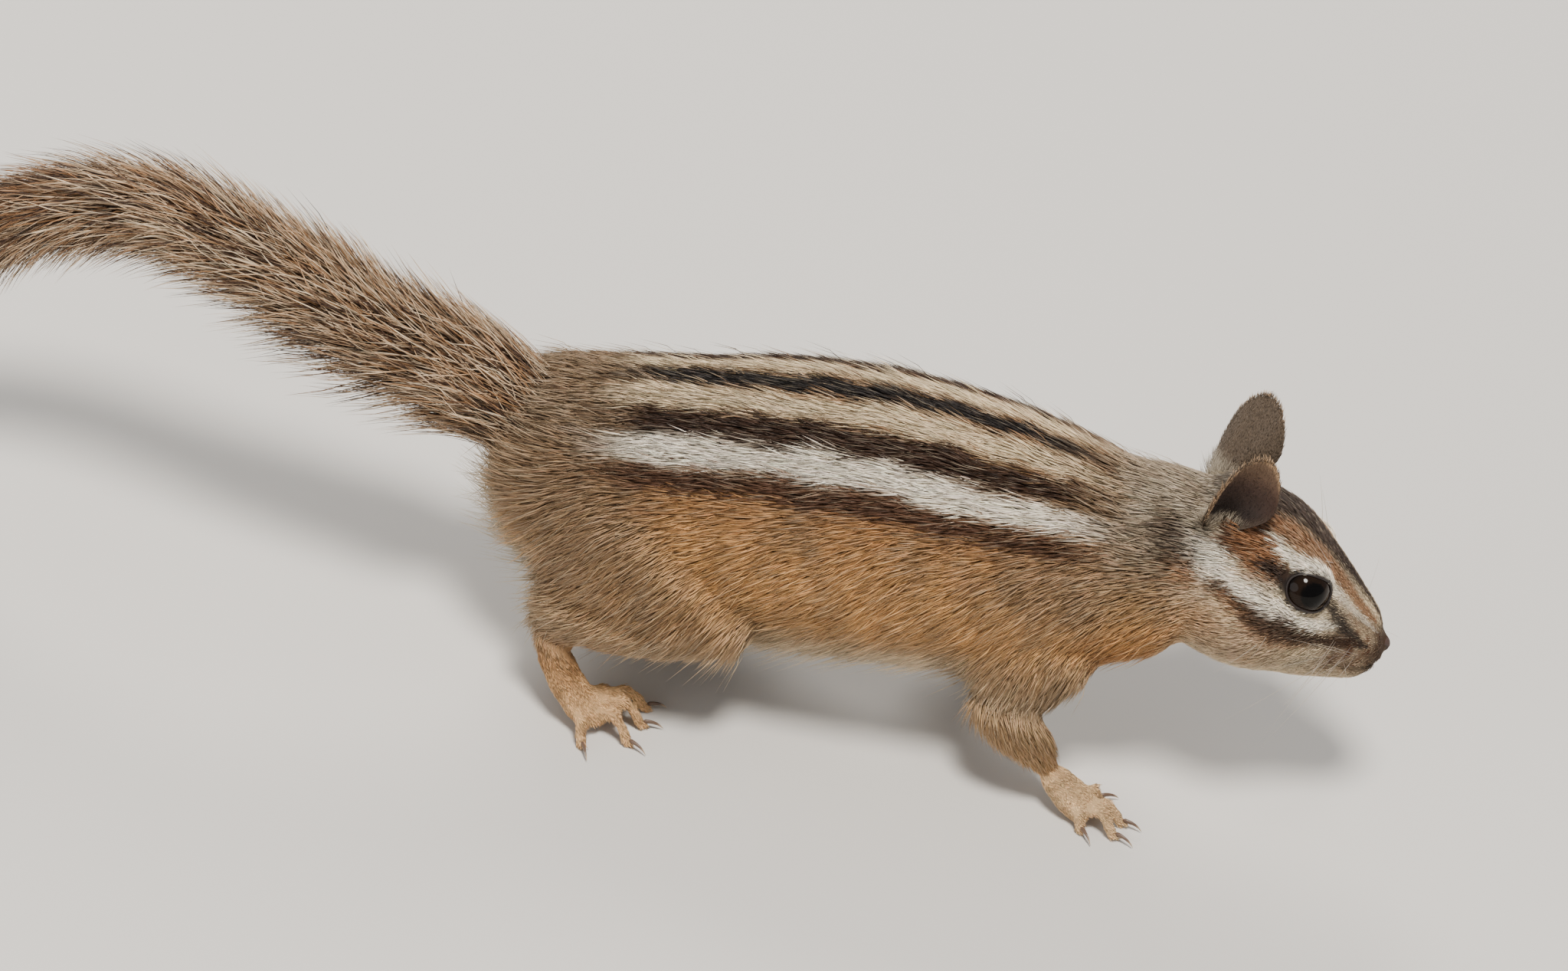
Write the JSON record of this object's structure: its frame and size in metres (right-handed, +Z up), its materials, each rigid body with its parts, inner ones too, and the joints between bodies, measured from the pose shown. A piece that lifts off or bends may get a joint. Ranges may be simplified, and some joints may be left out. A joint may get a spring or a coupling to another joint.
{
  "type": "chipmunk",
  "caption": "Life-size still model of a striped chipmunk in mid-stride, bushy tail held out behind, head low and level, standing on its own feet.",
  "frame": {"origin": "middle of the ground that the whole animal covers, from nose to tail tip and across the feet, at floor level", "axes": "+X the way it faces, +Y its left, +Z up"},
  "size_m": [0.2022, 0.0478, 0.0565],
  "materials": {
    "eye": "glossy, nearly black",
    "ear": "thin skin with very short hair",
    "nose": "bare, slightly moist skin",
    "head_coat": "short striped fur",
    "pale_coat": "short pale fur",
    "flank_coat": "short sleek fur, striped along the back",
    "haunch_coat": "short grizzled fur",
    "tail_coat": "long loose fur with pale tips",
    "foot_coat": "very short pale fur, dark claws"
  },
  "bodies": {
    "root": {"head": "head_coat", "lower_jaw": "pale_coat", "nose": "nose", "rump": "haunch_coat", "belly": "flank_coat", "chest": "flank_coat", "neck": "flank_coat", "tail_root": "tail_coat", "tail_middle": "tail_coat", "tail_end": "tail_coat", "eye_left": "eye", "ear_left": "ear", "eye_right": "eye", "ear_right": "ear", "thigh_right": "haunch_coat", "shank_right": "foot_coat", "hind_foot_right": "foot_coat", "thigh_left": "haunch_coat", "shank_left": "foot_coat", "hind_foot_left": "foot_coat", "upper_arm_right": "flank_coat", "forearm_right": "foot_coat", "fore_foot_right": "foot_coat", "upper_arm_left": "flank_coat", "forearm_left": "foot_coat", "fore_foot_left": "foot_coat"}
  },
  "joints": []
}
